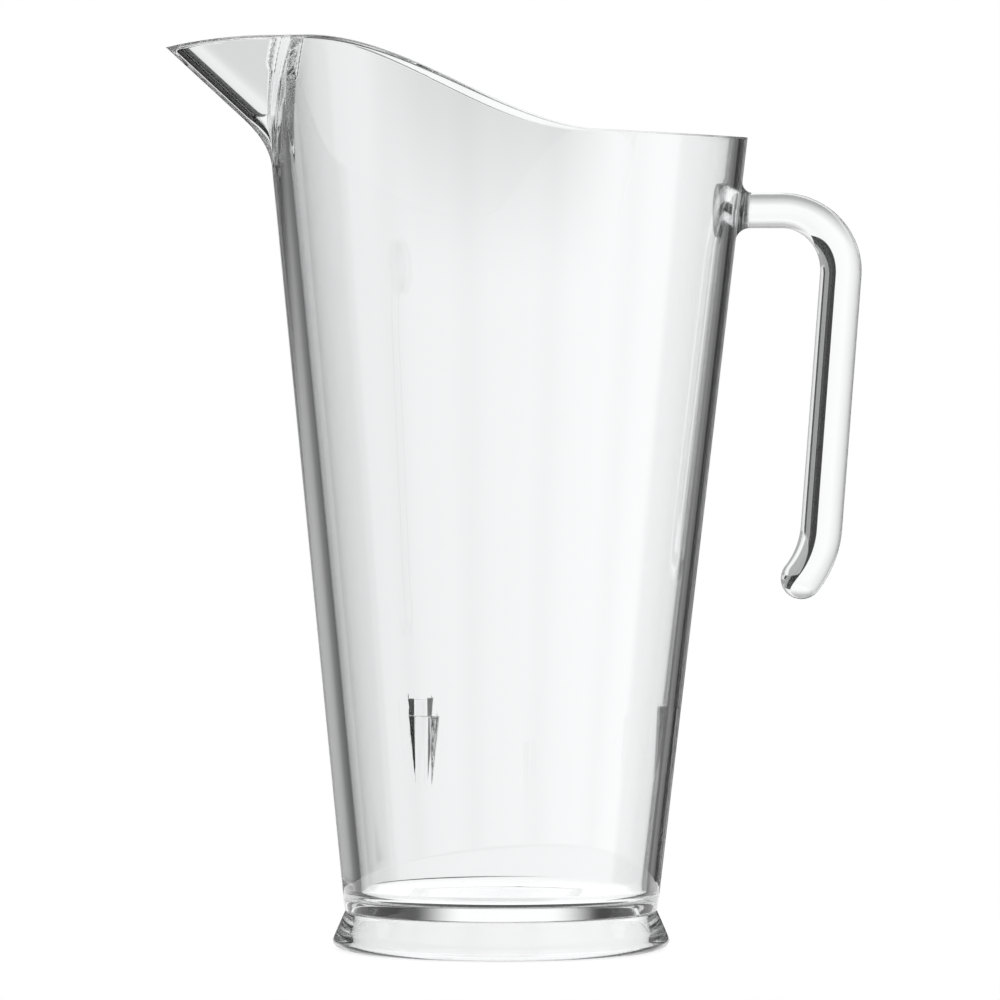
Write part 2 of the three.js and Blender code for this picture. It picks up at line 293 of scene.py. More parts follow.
@dataclass
class NodeBoard:
    """Short ways to place and join nodes in a node tree."""

    tree: bpy.types.NodeTree

    @classmethod
    def cleared(cls, owner: bpy.types.ID) -> "NodeBoard":
        """Return a board on the emptied node tree of a material or a world.

        Args:
            owner: The material or the world.

        Returns:
            The board.
        """
        owner.use_nodes = True
        owner.node_tree.nodes.clear()
        return cls(owner.node_tree)

    def add(self, kind: str, inputs: Mapping[str | int, object] | None = None,
            **settings: object) -> bpy.types.Node:
        """Place a node.

        Args:
            kind: Type of the node.
            inputs: Numbers, colours or sockets for the node's inputs, by name or place.
            settings: Properties of the node.

        Returns:
            The new node.
        """
        node = self.tree.nodes.new(kind)
        for name, value in settings.items():
            setattr(node, name, value)
        for key, value in (inputs or {}).items():
            if isinstance(value, Socket):
                self.join(value, node.inputs[key])
            else:
                node.inputs[key].default_value = value
        return node

    def join(self, source: Socket, target: Socket) -> None:
        """Link one socket to another."""
        self.tree.links.new(source, target)

    def maths(self, operation: str, *values: object) -> Socket:
        """Return the result of a Math node on numbers or sockets."""
        return self.add("ShaderNodeMath", dict(enumerate(values)), operation=operation).outputs[0]

    def product(self, *values: Socket) -> Socket:
        """Return several values multiplied together.

        Args:
            values: Sockets, two or more.

        Returns:
            The product.
        """
        total = values[0]
        for value in values[1:]:
            total = self.maths("MULTIPLY", total, value)
        return total

    def ranged(self, value: Socket, low: float, high: float,
               to_low: float = 0.0, to_high: float = 1.0) -> Socket:
        """Return a value mapped softly to a new range.

        Args:
            value: Socket to read.
            low: Value that gives to_low.
            high: Value that gives to_high.
            to_low: Result at low.
            to_high: Result at high.

        Returns:
            The mapped value.
        """
        inputs = {"Value": value, "From Min": low, "From Max": high, "To Min": to_low, "To Max": to_high}
        node = self.add("ShaderNodeMapRange", inputs, interpolation_type="SMOOTHSTEP")
        return node.outputs["Result"]

    def between(self, part: Socket, first: object, second: object) -> Socket:
        """Return a mix of two levels by the share of the second."""
        return self.add("ShaderNodeMix", {0: part, 2: first, 3: second}, data_type="FLOAT").outputs[0]

    def tinted(self, part: Socket, first: object, second: object) -> Socket:
        """Return a mix of two colours by the share of the second."""
        return self.add("ShaderNodeMix", {0: part, 6: first, 7: second}, data_type="RGBA").outputs[2]

    def shaded(self, part: Socket, first: Socket, second: Socket) -> Socket:
        """Return a mix of two shaders by the share of the second."""
        return self.add("ShaderNodeMixShader", {0: part, 1: first, 2: second}).outputs[0]


class SharedEffect:
    """A shader node group that the finishes share, with plain number sockets."""

    name: str
    inputs: tuple[str, ...]
    outputs: tuple[str, ...]

    @classmethod
    def group(cls) -> bpy.types.NodeTree:
        """Return the node group, built once.

        Returns:
            A group with the effect's named inputs and outputs.
        """
        found = bpy.data.node_groups.get(cls.name)
        if found:
            return found
        tree = bpy.data.node_groups.new(cls.name, "ShaderNodeTree")
        for way, names in (("INPUT", cls.inputs), ("OUTPUT", cls.outputs)):
            for name in names:
                tree.interface.new_socket(name, in_out=way, socket_type="NodeSocketFloat")
        board = NodeBoard(tree)
        given = board.add("NodeGroupInput").outputs
        place = board.add("ShaderNodeTexCoord").outputs["Object"]
        board.add("NodeGroupOutput", dict(zip(cls.outputs, cls.lay_out(board, given, place))))
        return tree

    @classmethod
    def lay_out(cls, board: NodeBoard, given: Mapping[str, Socket], place: Socket) -> Sequence[Socket]:
        """Place the nodes of the effect.

        Args:
            board: Where the nodes go.
            given: The group's inputs by name.
            place: Place on the piece, in metres.

        Returns:
            The group's outputs in order.
        """
        raise NotImplementedError


class MouldRipple(SharedEffect):
    """Slow waves that the mould leaves in a clear wall, as a height in metres."""

    name = "mould_ripple"
    inputs = ("Wave size", "Upright stretch", "Depth")
    outputs = ("Height",)
    wave_detail = 1.5
    wave_roughness = 0.35

    @classmethod
    def lay_out(cls, board: NodeBoard, given: Mapping[str, Socket], place: Socket) -> Sequence[Socket]:
        """Place the nodes of the waves.

        Args:
            board: Where the nodes go.
            given: The group's inputs by name.
            place: Place on the piece, in metres.

        Returns:
            The height.
        """
        apart = board.add("ShaderNodeSeparateXYZ", {0: place}).outputs
        upright = board.maths("DIVIDE", apart["Z"], given["Upright stretch"])
        drawn_out = board.add("ShaderNodeCombineXYZ", {"X": apart["X"], "Y": apart["Y"], "Z": upright})
        waves = board.add("ShaderNodeTexNoise", {
            "Vector": drawn_out.outputs[0],
            "Scale": board.maths("DIVIDE", 1.0, given["Wave size"]),
            "Detail": cls.wave_detail,
            "Roughness": cls.wave_roughness,
        })
        return [board.maths("MULTIPLY", waves.outputs["Fac"], given["Depth"])]


class HandlingMarks(SharedEffect):
    """Faint haze of wiping and fine scuffs of standing on a bar."""

    name = "handling_marks"
    inputs = ("Clean roughness", "Wiped roughness", "Scuffed roughness", "Scuff top", "Scuff fade")
    outputs = ("Roughness", "Scuff", "Scuff height")
    wipe_scale = 38.0
    wipe_detail = 4.0
    wipe_patch = (0.52, 0.78)
    grain_scale = 900.0
    grain_detail = 3.0
    grain_speck = (0.42, 0.6)
    scuff_height = -0.00003

    @classmethod
    def lay_out(cls, board: NodeBoard, given: Mapping[str, Socket], place: Socket) -> Sequence[Socket]:
        """Place the nodes of the haze and the scuffs.

        Args:
            board: Where the nodes go.
            given: The group's inputs by name.
            place: Place on the piece, in metres.

        Returns:
            The roughness, the mask of the scuffs and their height.
        """
        wiped = board.add("ShaderNodeTexNoise",
                          {"Vector": place, "Scale": cls.wipe_scale, "Detail": cls.wipe_detail})
        patches = board.ranged(wiped.outputs["Fac"], *cls.wipe_patch)
        haze = board.between(patches, given["Clean roughness"], given["Wiped roughness"])
        height = board.add("ShaderNodeSeparateXYZ", {0: place}).outputs["Z"]
        low = board.maths("DIVIDE", board.maths("SUBTRACT", given["Scuff top"], height), given["Scuff fade"])
        grain = board.add("ShaderNodeTexNoise",
                          {"Vector": place, "Scale": cls.grain_scale, "Detail": cls.grain_detail})
        specks = board.ranged(grain.outputs["Fac"], *cls.grain_speck)
        scuff = board.product(board.ranged(low, 0.0, 1.0), specks)
        rough = board.between(scuff, haze, given["Scuffed roughness"])
        return [rough, scuff, board.maths("MULTIPLY", scuff, cls.scuff_height)]


class WeldAndShadeMark(SharedEffect):
    """Mask of near-black base colour from the level stored on the mesh: painted shade on the lugs' sides,
    and a weld line with painted shade round the handle's root.
    """

    name = "weld_and_shade_mark"
    inputs = ("Unevenness",)
    outputs = ("Mark",)
    # stored level of near-black colour: painted shade on the lugs' sides, and a weld line with painted shade
    # round the handle's root
    attribute = "weld"
    flow_scale = 700.0

    @classmethod
    def lay_out(cls, board: NodeBoard, given: Mapping[str, Socket], place: Socket) -> Sequence[Socket]:
        """Place the nodes of the weld line and the painted shade.

        Args:
            board: Where the nodes go.
            given: The group's inputs by name.
            place: Place on the piece, in metres.

        Returns:
            The mask.
        """
        stored = board.add("ShaderNodeAttribute", attribute_name=cls.attribute).outputs["Fac"]
        flow = board.add("ShaderNodeTexNoise", {"Vector": place, "Scale": cls.flow_scale}).outputs["Fac"]
        thin = board.maths("MULTIPLY", flow, given["Unevenness"])
        return [board.product(stored, board.maths("SUBTRACT", 1.0, thin))]


@dataclass(frozen=True)
class ClearPlastic:
    """Clear colourless moulded plastic with its ripple, haze, scuffs, weld line and painted shade."""

    name: str
    tint: tuple[float, float, float] = (0.985, 0.99, 0.992)
    scuff_tint: tuple[float, float, float] = (0.965, 0.975, 0.98)
    # painted shade: near-black base colour for the lugs' sides, and for the weld line round the handle's
    # root
    weld_and_shade_tint: tuple[float, float, float] = (0.01, 0.01, 0.011)
    weld_and_shade_unevenness: float = 0.1
    refraction: float = 1.57
    ripple_size: float = 0.045
    ripple_stretch: float = 3.0
    ripple_depth: float = 0.00008
    clean_roughness: float = 0.0
    wiped_roughness: float = 0.02
    scuffed_roughness: float = 0.25
    scuff_top: float = 0.0005
    scuff_fade: float = 0.0005

    def material(self) -> bpy.types.Material:
        """Return the material, built once.

        Returns:
            A Principled glass with node-driven roughness, tint and bump.
        """
        found = bpy.data.materials.get(self.name)
        if found:
            return found
        made = bpy.data.materials.new(self.name)
        board = NodeBoard.cleared(made)
        marks = board.add("ShaderNodeGroup", node_tree=HandlingMarks.group(), inputs={
            "Clean roughness": self.clean_roughness,
            "Wiped roughness": self.wiped_roughness,
            "Scuffed roughness": self.scuffed_roughness,
            "Scuff top": self.scuff_top,
            "Scuff fade": self.scuff_fade,
        }).outputs
        ripple = board.add("ShaderNodeGroup", node_tree=MouldRipple.group(), inputs={
            "Wave size": self.ripple_size,
            "Upright stretch": self.ripple_stretch,
            "Depth": self.ripple_depth,
        }).outputs
        weld_and_shade_marks = board.add("ShaderNodeGroup", node_tree=WeldAndShadeMark.group(),
                          inputs={"Unevenness": self.weld_and_shade_unevenness}).outputs
        plain = board.tinted(marks["Scuff"], (*self.tint, 1.0), (*self.scuff_tint, 1.0))
        height = board.maths("ADD", ripple["Height"], marks["Scuff height"])
        bump = board.add("ShaderNodeBump", {"Strength": 1.0, "Distance": 1.0, "Height": height})
        shader = board.add("ShaderNodeBsdfPrincipled", {
            # painted shade: the mask turns the base colour near black on the lugs' sides and round the
            # handle's root
            "Base Color": board.tinted(weld_and_shade_marks["Mark"], plain, (*self.weld_and_shade_tint, 1.0)),
            "Metallic": 0.0,
            "Roughness": marks["Roughness"],
            "IOR": self.refraction,
            "Normal": bump.outputs[0],
            "Transmission Weight": 1.0,
        })
        board.add("ShaderNodeOutputMaterial", {"Surface": shader.outputs[0]})
        return made


@dataclass
class RingMesh:
    """A closed smooth mesh through rings of points, drawn in millimetres from the foot's axis."""

    name: str
    axis_x: float
    crease: float = 38.0

    def make(self, rings: Sequence[Ring], endless: bool = False) -> bpy.types.Object:
        """Build the mesh object through the rings.

        Args:
            rings: Rings in order. A ring of one point closes an end.
            endless: Whether the last ring is joined to the first.

        Returns:
            The new object, linked to the scene.
        """
        points: list[tuple[float, float, float]] = []
        starts: list[int] = []
        for ring in rings:
            starts.append(len(points))
            points += [((p.x + self.axis_x) * MM, p.y * MM, p.z * MM) for p in ring]
        order = [*range(len(rings)), 0] if endless else [*range(len(rings))]
        faces: list[tuple[int, ...]] = []
        for this, following in zip(order, order[1:]):
            faces += self._band(starts[this], len(rings[this]), starts[following], len(rings[following]))
        mesh = bpy.data.meshes.new(self.name)
        mesh.from_pydata(points, [], faces)
        mesh.validate()
        mesh.shade_smooth()
        mesh.set_sharp_from_angle(angle=math.radians(self.crease))
        piece = bpy.data.objects.new(self.name, mesh)
        bpy.context.scene.collection.objects.link(piece)
        return piece

    def mark_weld_and_shade(self, piece: bpy.types.Object, level_at: Callable[[Vector], float]) -> None:
        """Store each point's level of near-black colour, for the finish to read: painted shade, and a weld
        line at the handle's root.

        Args:
            piece: An object that make returned.
            level_at: Gives the level of a point, from 0 to 1.
        """
        marks = piece.data.attributes.new(WeldAndShadeMark.attribute, "FLOAT", "POINT")
        for vertex, mark in zip(piece.data.vertices, marks.data):
            mark.value = level_at(vertex.co / MM - Vector((self.axis_x, 0.0, 0.0)))

    @staticmethod
    def _band(a: int, count_a: int, b: int, count_b: int) -> list[tuple[int, ...]]:
        """Return the faces between two neighbouring rings.

        Args:
            a: First point of one ring.
            count_a: Number of its points, which may be one.
            b: First point of the next ring.
            count_b: Number of its points, which may be one.

        Returns:
            Faces as lists of points.
        """
        count = max(count_a, count_b)
        faces: list[tuple[int, ...]] = []
        for j in range(count):
            k = (j + 1) % count
            if count_a == 1:
                faces.append((a, b + j, b + k))
            elif count_b == 1:
                faces.append((a + j, b, a + k))
            else:
                faces.append((a + j, b + j, b + k, a + k))
        return faces


@dataclass
class Moulding:
    """A clear moulding of the jug."""

    form: JugForm
    finish: ClearPlastic

    def dress(self, piece: bpy.types.Object) -> None:
        """Give a piece of the moulding its clear finish."""
        piece.data.materials.append(self.finish.material())


@dataclass
class JugBody(Moulding):
    """The tapered body with its floor, swept rim, pouring lip and stacking lugs."""

    floor: float = 4.0
    floor_fillet: float = 3.0
    floor_shares: tuple[float, ...] = (0.35, 0.7)
    rim_round: float = 0.3
    seam_round: float = 0.4
    under_shares: tuple[float, ...] = (0.6, 0.2)
    lug_top: float = 67.0
    lug_length: float = 19.0
    lug_stand: float = 1.6
    lug_face: float = 4.8
    lug_side: float = 1.15
    lug_slope: float = 3.0
    lug_edge: float = 0.3
    lug_edge_levels: tuple[float, ...] = (0.0, 0.1, 0.2, 0.26)
    lug_ledge: float = 0.03
    lug_spread: float = 10.0
    lug_turn: float = 0.16
    # shares of a lug's side that get painted shade, a near-black base colour
    lug_shade_shares: tuple[float, float] = (0.02, 0.98)
    lip_spread: float = 16.0
    lip_steps: int = 120
    lip_crowding: float = 1.15
    plain_turn: float = 1.0
    low_levels: tuple[float, ...] = (0.0, 6.0, 14.0, 22.0)
    lug_foot_gap: float = 0.5
    inside_gap: float = 2.0
    inside_level: float = 8.0
    outside_levels: int = 24
    sweep_levels: int = 72
    slack: float = 0.05
    hair: float = 0.001
    angles: list[float] = field(default_factory=list)

    def build(self) -> list[bpy.types.Object]:
        """Build the body as one clear moulding.

        Returns:
            The finished pieces.
        """
        form = self.form
        self.angles = self._wall_angles()
        start = form.foot_height + self.floor + self.floor_fillet
        rings = self._floor_rings(start)
        rings += self._wall(self._inside, self._inside_levels(start))
        rings += self._rim(self._inside)
        rings += reversed(self._rim(form.outer_point))
        rings += reversed(self._wall(form.outer_point, self._outside_levels()))
        rings += self._under_rings()
        maker = RingMesh("jug_body_moulding", form.axis_x)
        piece = maker.make(rings)
        # painted shade: the lugs' sides are marked for a near-black base colour
        maker.mark_weld_and_shade(piece, self._weld_and_shade_level)
        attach(piece, BODY)
        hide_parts("jug_body", "stacking_lug_handle_side", "stacking_lug_near", "stacking_lug_far")
        self.dress(piece)
        return [piece]

    @property
    def _lug_low(self) -> float:
        """Height of the lower end of the lugs."""
        return self.lug_top - self.lug_length

    def _wall_angles(self) -> list[float]:
        """Return the angles round the wall, close together at the lip and at the lugs.

        Returns:
            Turns from the lip's direction, in radians.
        """
        spread = self.lip_spread
        degrees: set[float] = set()
        for i in range(-self.lip_steps, self.lip_steps + 1):
            share = abs(i / self.lip_steps) ** self.lip_crowding
            degrees.add(round(math.copysign(spread * share, i), 3))
        turn = spread + self.plain_turn
        while turn < 360.0 - spread:
            degrees.add(round(wrapped(turn), 3))
            turn += self.plain_turn
        for place in LugPlace:
            offset = -self.lug_spread
            while offset <= self.lug_spread:
                degrees.add(round(wrapped(place.value + offset), 3))
                offset += self.lug_turn
        return [math.radians(d) for d in sorted(degrees)]

    def _floor_rings(self, start: float) -> list[Ring]:
        """Return the rings of the floor's top and its fillet.

        Args:
            start: Height at which the fillet meets the wall.

        Returns:
            Rings from the middle of the floor to the wall.
        """
        form, fillet = self.form, self.floor_fillet
        top = start - fillet
        steps = [(form.inner_radius(start) * (1.0 - share), top) for share in self.floor_shares]
        for sine, cosine in reversed(quarter_turn(12)[1:]):
            steps.append((fillet * (1.0 - cosine), start - fillet * sine))
        rings: list[Ring] = [[Vector((form.inner_centre(top), 0.0, top))]]
        for inset, z in steps:
            rings.append([self._at_level(form.inner_point(a, start, inset), z) for a in self.angles])
        return rings

    def _under_rings(self) -> list[Ring]:
        """Return the rings of the seam's edge and the floor's underside.

        Returns:
            Rings from the wall to the axis.
        """
        bottom, waist = self.form.foot_height, self.form.waist_radius
        steps = [(waist - self.seam_round * (1.0 - cosine), bottom + self.seam_round * (1.0 - sine))
                 for sine, cosine in quarter_turn(5)[1:]]
        steps += [(waist * share, bottom) for share in self.under_shares]
        rings: list[Ring] = []
        for radius, z in steps:
            rings.append([Vector((-radius * math.cos(a), -radius * math.sin(a), z)) for a in self.angles])
        rings.append([Vector((0.0, 0.0, bottom))])
        return rings

    def _inside(self, angle: float, z: float, shrink: float = 0.0) -> Vector:
        """Return a point of the inside with the lugs standing on it."""
        return self.form.inner_point(angle, z, shrink + self._lug_thickness(angle, z))

    def _lug_thickness(self, angle: float, z: float) -> float:
        """Return how far a lug stands in from the wall at a place.

        Args:
            angle: Turn from the lip's direction, in radians.
            z: Height above the table.

        Returns:
            Thickness in millimetres, zero away from the lugs.
        """
        low = self._lug_low
        if z <= low or z > self.lug_top + self.hair:
            return 0.0
        stand = self.lug_stand * (z - low) / self.lug_length
        into = max(0.0, z - (self.lug_top - self.lug_edge))
        stand -= self.lug_edge - math.sqrt(max(0.0, self.lug_edge**2 - into**2))
        return stand * self._lug_share(angle, z, stand / self.lug_stand)

    def _lug_share(self, angle: float, z: float, rise: float) -> float:
        """Return how far a place is up the side of a lug.

        Args:
            angle: Turn from the lip's direction, in radians.
            z: Height above the table.
            rise: Share of the lug's full thickness at the height.

        Returns:
            One on the lug's face, zero away from the lugs.
        """
        half = self.lug_face / 2.0
        for place in LugPlace:
            along = math.radians(wrapped(math.degrees(angle) - place.value)) * self.form.inner_radius(z)
            side = rise * (self.lug_slope if along * place.value > 0.0 else self.lug_side)
            if abs(along) < half + side:
                return min(1.0, (half + side - abs(along)) / side)
        return 0.0

    def _weld_and_shade_level(self, point: Vector) -> float:
        """Return whether a point lies on the side of a lug, which gets painted shade.

        Args:
            point: A point of the body.

        Returns:
            One on the side of a lug, else zero.
        """
        low, form = self._lug_low, self.form
        if not low < point.z <= self.lug_top:
            return 0.0
        out = form.inner_centre(point.z) - point.x
        if math.hypot(out, point.y) > form.inner_radius(point.z) + self.slack:
            return 0.0
        rise = (point.z - low) / self.lug_length
        foot, face = self.lug_shade_shares
        return float(foot < self._lug_share(math.atan2(-point.y, out), point.z, rise) < face)

    def _inside_levels(self, start: float) -> list[float]:
        """Return heights up the plain part of the inside, close together at the lugs.

        Args:
            start: Height at which the wall starts.

        Returns:
            Heights in order.
        """
        low, edge = self._lug_low, self.lug_top - self.lug_edge
        levels = [start + rise for rise in self.low_levels] + [low - self.lug_foot_gap, low]
        levels += [low + i for i in range(1, int(self.lug_length))]
        levels += [edge + rise for rise in self.lug_edge_levels]
        levels += [self.lug_top, self.lug_top + self.lug_ledge]
        height = self.lug_top + self.inside_gap
        while height < self.form.cone_top - self.inside_gap:
            levels.append(height)
            height += self.inside_level
        return levels

    def _outside_levels(self) -> list[float]:
        """Return heights up the plain part of the outside."""
        low, count = self.form.foot_height + self.seam_round, self.outside_levels
        return [mix(low, self.form.cone_top, i / count) for i in range(count)]

    def _wall(self, point_at: WallPoint, levels: Sequence[float]) -> list[Ring]:
        """Return rings up a wall, from level ones to ones that follow the rim.

        Args:
            point_at: Gives a point of the wall.
            levels: Heights of the rings below the lip.

        Returns:
            Rings from the bottom to just under the rounded rim.
        """
        tops = [self.form.rim_at(point_at, angle) - self.rim_round for angle in self.angles]
        rings = [[point_at(a, z, 0.0) for a in self.angles] for z in levels]
        for i in range(self.sweep_levels + 1):
            share = i / self.sweep_levels
            rings.append([point_at(a, mix(self.form.cone_top, top, share), 0.0)
                          for a, top in zip(self.angles, tops)])
        return rings

    def _rim(self, point_at: WallPoint) -> list[Ring]:
        """Return rings over one rounded edge of the rim.

        Args:
            point_at: Gives a point of the wall.

        Returns:
            Rings from the wall to the flat top.
        """
        tops = [self.form.rim_at(point_at, angle) for angle in self.angles]
        rings: list[Ring] = []
        for sine, cosine in quarter_turn(8)[1:]:
            inset = self.rim_round * (1.0 - cosine)
            fall = self.rim_round * (1.0 - sine)
            rings.append([self._at_level(point_at(a, top, -inset), top - fall)
                          for a, top in zip(self.angles, tops)])
        return rings

    @staticmethod
    def _at_level(point: Vector, z: float) -> Vector:
        """Return the point moved to a height."""
        return Vector((point.x, point.y, z))


@dataclass
class FootRing(Moulding):
    """The short flared skirt welded under the floor."""

    radius: float = 46.7
    wall: float = 2.9
    round_height: float = 2.4
    round_width: float = 3.2
    land: float = 1.2
    inner_edge: float = 0.5
    seam_round: float = 0.4
    seam: float = 0.1
    skirt_steps: int = 8
    steps: int = 320
    crease: float = 40.0

    def build(self) -> list[bpy.types.Object]:
        """Build the ring.

        Returns:
            The finished pieces.
        """
        profile = self._profile()
        turns = [2.0 * math.pi * i / self.steps for i in range(self.steps)]
        rings = [[Vector((radius * math.cos(turn), radius * math.sin(turn), z)) for radius, z in profile]
                 for turn in turns]
        piece = RingMesh("foot_ring_moulding", self.form.axis_x, self.crease).make(rings, endless=True)
        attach(piece, BODY)
        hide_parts("foot_ring")
        self.dress(piece)
        return [piece]

    def _profile(self) -> list[tuple[float, float]]:
        """Return the section of the ring.

        Returns:
            Radius and height, anticlockwise from the inner edge of the land.
        """
        land = self.radius - self.round_width
        inner = land - self.land
        top = self.form.foot_height - self.seam
        waist, seam, low = self.form.waist_radius, self.seam_round, self.inner_edge
        edge = waist - self.wall
        shares = [step / self.skirt_steps for step in range(1, self.skirt_steps)]
        profile = [(inner + low * (1.0 - cosine), low * (1.0 - sine)) for sine, cosine in quarter_turn(4)]
        profile += [(land + self.round_width * sine, self.round_height * (1.0 - cosine))
                    for sine, cosine in quarter_turn(12)]
        profile += [(mix(self.radius, waist, share), mix(self.round_height, top - seam, share))
                    for share in shares]
        profile += [(waist - seam * (1.0 - cosine), top - seam * (1.0 - sine))
                    for sine, cosine in quarter_turn(5)]
        profile += [(edge + seam * (1.0 - sine), top - seam * (1.0 - cosine))
                    for sine, cosine in quarter_turn(5)]
        profile += [(mix(edge, inner, share), mix(top - seam, self.round_height, share)) for share in shares]
        return profile


@dataclass
class HookHandle(Moulding):
    """The open hook handle and the headed plug that holds it inside the wall."""

    rod: float = 11.5
    root_rod: float = 9.8
    root_flare: float = 3.5
    root_shares: tuple[float, ...] = (0.3, 0.6, 0.85, 0.97)
    root_levels: tuple[float, ...] = (4.2, 5.0, 6.0, 7.0, 8.0, 9.0, 10.0)
    root_hug: float = 9.0
    bend_radius: float = 16.6
    bend_steps: int = 40
    grip_length: float = 70.0
    grip_lean: float = 4.3
    tip_bend: float = 26.0
    tip_turn: float = 34.0
    line_steps: int = 20
    plug_radius: float = 7.5
    plug_stand: float = 1.5
    plug_round: float = 0.6
    plug_shares: tuple[float, float] = (0.4, 0.8)
    # weld line with painted shade: share of the root's near-black ring that the plug gets
    plug_weld_and_shade: float = 0.85
    weld: float = 0.05
    # width of the root's near-black ring, a weld line with painted shade
    weld_and_shade_width: float = 1.0
    steps: int = 96

    def build(self) -> list[bpy.types.Object]:
        """Build the handle and its plug.

        Returns:
            The finished pieces.
        """
        pieces: list[bpy.types.Object] = []
        for name, node, rings in (("hook_handle", "handle", self._handle_rings()),
                                  ("handle_plug_head", "handle_plug", self._plug_rings())):
            maker = RingMesh(name, self.form.axis_x)
            piece = maker.make(rings)
            # a weld line with painted shade: near-black ring round the root
            maker.mark_weld_and_shade(piece, self._weld_and_shade_level)
            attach(piece, BODY)
            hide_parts(node)
            self.dress(piece)
            pieces.append(piece)
        return pieces

    def _turns(self) -> list[float]:
        """Return the angles round the rod, from its top."""
        return [2.0 * math.pi * j / self.steps for j in range(self.steps)]

    def _weld_and_shade_level(self, point: Vector) -> float:
        """Return how far a point lies in the dark ring round the root, a weld line with painted shade.

        Args:
            point: A point of the handle or the plug.

        Returns:
            Level from 0 to 1.
        """
        height, small = self.form.handle_height, self.root_rod / 2.0
        away = math.hypot(point.y, point.z - height)
        beyond = point.x - self.form.outer_wall_x(0.0, height)
        ring = smooth_step(away, small, small + self.weld_and_shade_width)
        ring *= 1.0 - smooth_step(beyond, self.root_flare - self.weld_and_shade_width / 2.0,
                                  self.root_flare + self.weld_and_shade_width)
        on_handle = beyond > -self.form.wall / 2.0
        return ring if on_handle else ring * self.plug_weld_and_shade

    def _on_wall(self, radius: float, away: float, hug: float) -> Ring:
        """Return a ring near the root.

        Args:
            radius: Distance from the root's axis.
            away: Distance from the outside of the wall, along the axis.
            hug: How much the ring follows the wall's curve, from 0 to 1.

        Returns:
            Points round the root's axis.
        """
        height = self.form.handle_height
        middle = self.form.outer_wall_x(0.0, height, self.weld)
        ring: Ring = []
        for turn in self._turns():
            y, z = radius * math.sin(turn), height + radius * math.cos(turn)
            wall = self.form.outer_wall_x(y, z, self.weld)
            ring.append(Vector((mix(middle, wall, hug) + away, y, z)))
        return ring

    def _handle_rings(self) -> list[Ring]:
        """Return the rings of the handle.

        Returns:
            Rings from its root to its rounded end.
        """
        form, flare, small = self.form, self.root_flare, self.root_rod / 2.0
        middle = form.outer_wall_x(0.0, form.handle_height, self.weld)
        rings: list[Ring] = [[Vector((middle, 0.0, form.handle_height))]]
        rings += [self._on_wall((small + flare) * share, 0.0, 1.0) for share in self.root_shares]
        steps = [(small + flare * (1.0 - sine), flare * (1.0 - cosine)) for sine, cosine in quarter_turn(14)]
        steps += [(small, away) for away in self.root_levels]
        for radius, away in steps:
            rings.append(self._on_wall(radius, away, 1.0 - smooth_step(away, 0.0, self.root_hug)))
        path = self._path(middle + self.root_levels[-1])
        rings += [self._round(*spot) for spot in path]
        end, heading, radius = path[-1]
        for sine, cosine in quarter_turn(12)[1:-1]:
            rings.append(self._round(end + heading * radius * sine, heading, radius * cosine))
        rings.append([end + heading * radius])
        return rings

    def _path(self, start_x: float) -> list[tuple[Vector, Vector, float]]:
        """Return the centre line past the root.

        Args:
            start_x: Where the line starts on the root's axis.

        Returns:
            Centres, headings and radii along the line.
        """
        height = self.form.handle_height
        bend_x = self.form.handle_reach - self.rod / 2.0 - self.bend_radius
        centre = Vector((bend_x, 0.0, height - self.bend_radius))
        small, full = self.root_rod / 2.0, self.rod / 2.0
        line: list[tuple[Vector, Vector, float]] = []
        for share in (0.25, 0.5, 0.75):
            x = mix(start_x, bend_x, share)
            line.append((Vector((x, 0.0, height)), Vector((1.0, 0.0, 0.0)), small))
        whole = math.pi / 2.0 + math.radians(self.grip_lean)
        for step in range(self.bend_steps + 1):
            turn = whole * step / self.bend_steps
            out = Vector((math.sin(turn), 0.0, math.cos(turn)))
            heading = Vector((math.cos(turn), 0.0, -math.sin(turn)))
            radius = mix(small, full, smooth_step(step / self.bend_steps, 0.0, 1.0))
            line.append((centre + out * self.bend_radius, heading, radius))
        last, heading, _ = line[-1]
        for step in range(1, self.line_steps + 1):
            line.append((last + heading * self.grip_length * step / self.line_steps, heading, full))
        last, heading, _ = line[-1]
        hub = last + Vector((heading.z, 0.0, -heading.x)) * self.tip_bend
        for step in range(1, self.line_steps + 1):
            spun = Matrix.Rotation(math.radians(self.tip_turn) * step / self.line_steps, 3, "Y")
            line.append((hub + spun @ (last - hub), spun @ heading, full))
        return line

    def _round(self, centre: Vector, heading: Vector, radius: float) -> Ring:
        """Return a circle round the centre line.

        Args:
            centre: Middle of the circle.
            heading: Direction of the line there.
            radius: Radius of the circle.

        Returns:
            Points of the circle.
        """
        up = Vector((-heading.z, 0.0, heading.x))
        across = Vector((0.0, 1.0, 0.0))
        return [centre + up * radius * math.cos(t) + across * radius * math.sin(t) for t in self._turns()]

    def _plug_rings(self) -> list[Ring]:
        """Return the rings of the plug's head.

        Returns:
            Rings from its face to its back on the wall.
        """
        form, height = self.form, self.form.handle_height
        face = form.inner_wall_x(0.0, height) - self.plug_stand
        flat = self.plug_radius - self.plug_round
        shares = (*self.plug_shares, 1.0)
        rings: list[Ring] = [[Vector((face, 0.0, height))]]
        rings += [self._disc(flat * share, face) for share in shares]
        rings += [self._disc(flat + self.plug_round * sine, face + self.plug_round * (1.0 - cosine))
                  for sine, cosine in quarter_turn(8)[1:]]
        for share in reversed(shares):
            rings.append([Vector((form.inner_wall_x(p.y, p.z, self.weld), p.y, p.z))
                          for p in self._disc(self.plug_radius * share, face)])
        rings.append([Vector((form.inner_wall_x(0.0, height, self.weld), 0.0, height))])
        return rings

    def _disc(self, radius: float, x: float) -> Ring:
        """Return an upright circle round the root's axis."""
        height = self.form.handle_height
        return [Vector((x, radius * math.sin(t), height + radius * math.cos(t))) for t in self._turns()]


